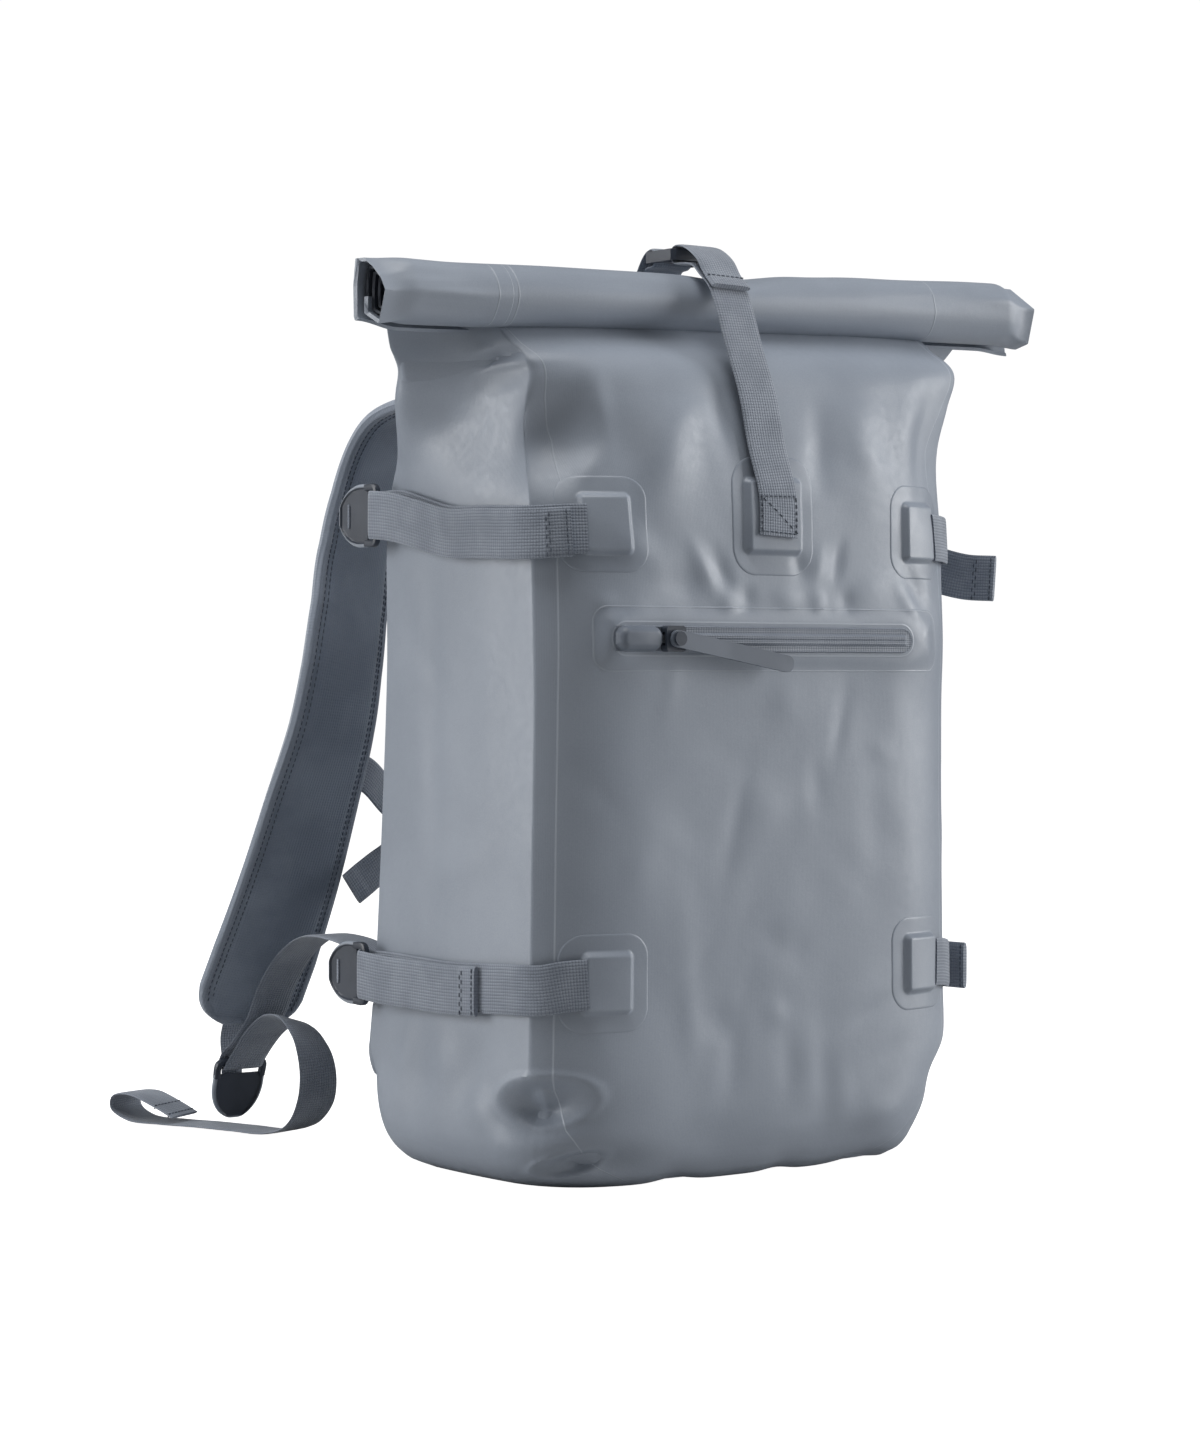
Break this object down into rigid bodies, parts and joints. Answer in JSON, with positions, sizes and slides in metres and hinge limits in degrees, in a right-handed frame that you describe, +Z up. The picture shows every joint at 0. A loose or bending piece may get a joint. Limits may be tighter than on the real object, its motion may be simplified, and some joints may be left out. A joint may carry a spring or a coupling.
{
  "type": "rolltop backpack",
  "caption": "Roll-top backpack of welded coated fabric with compression straps, a front zip pocket and padded shoulder straps, standing on its base.",
  "frame": {"origin": "middle of the flat base, on the surface that the bag stands on", "axes": "+Z up, the front with the zip faces -Y, +X to the right as the front is seen"},
  "size_m": [0.437, 0.4014, 0.4802],
  "materials": {
    "coated_fabric": "smooth matte polyurethane-coated nylon, welded seams",
    "welded_patch": "smooth coated patch with a pressed edge",
    "webbing": "ribbed nylon webbing",
    "moulded_plastic": "satin moulded acetal",
    "pad_mesh": "dark matte stretch mesh over foam",
    "zip_rubber": "matte water-resistant zip coating"
  },
  "bodies": {
    "pack": {"bag_shell": "coated_fabric", "roll_top": "coated_fabric", "anchor_patch_upper_left": "welded_patch", "anchor_patch_lower_left": "welded_patch", "anchor_patch_upper_right": "welded_patch", "anchor_patch_lower_right": "welded_patch", "anchor_patch_top": "welded_patch", "side_strap_upper_left": "webbing", "side_strap_lower_left": "webbing", "side_strap_upper_right": "webbing", "side_strap_lower_right": "webbing", "side_ring_upper_left": "moulded_plastic", "side_ring_lower_left": "moulded_plastic", "side_ring_upper_right": "moulded_plastic", "side_ring_lower_right": "moulded_plastic", "ring_tab_upper_left": "webbing", "ring_tab_lower_left": "webbing", "ring_tab_upper_right": "webbing", "ring_tab_lower_right": "webbing", "top_strap_front": "webbing", "top_strap_rear": "webbing", "top_buckle": "moulded_plastic", "zip_patch": "welded_patch", "zip_rail": "zip_rubber", "zip_garage": "zip_rubber", "shoulder_pad_left": "pad_mesh", "shoulder_pad_right": "pad_mesh", "shoulder_web_left": "webbing", "shoulder_web_right": "webbing", "shoulder_ring_left": "moulded_plastic", "shoulder_ring_right": "moulded_plastic", "pad_end_tab_left": "webbing", "pad_end_tab_right": "webbing", "web_wing_left": "welded_patch", "web_wing_right": "welded_patch", "sternum_strap_left": "webbing", "sternum_strap_right": "webbing", "sternum_tail": "webbing", "sternum_clip": "moulded_plastic", "back_pad": "pad_mesh", "strap_yoke": "welded_patch", "haul_handle": "webbing"},
    "slider": {"zip_slider": "moulded_plastic"},
    "pull": {"zip_pull": "zip_rubber"}
  },
  "joints": [
    {"name": "zip_slide", "type": "slide", "parent": "pack", "child": "slider", "axis": [1, 0, 0], "range_m": [0, 0.148]},
    {"name": "pull_swing", "type": "hinge", "parent": "slider", "child": "pull", "pos_m": [-0.07065, -0.0881, 0.273], "axis": [0, 1, 0], "range_deg": [-10, 80]}
  ]
}
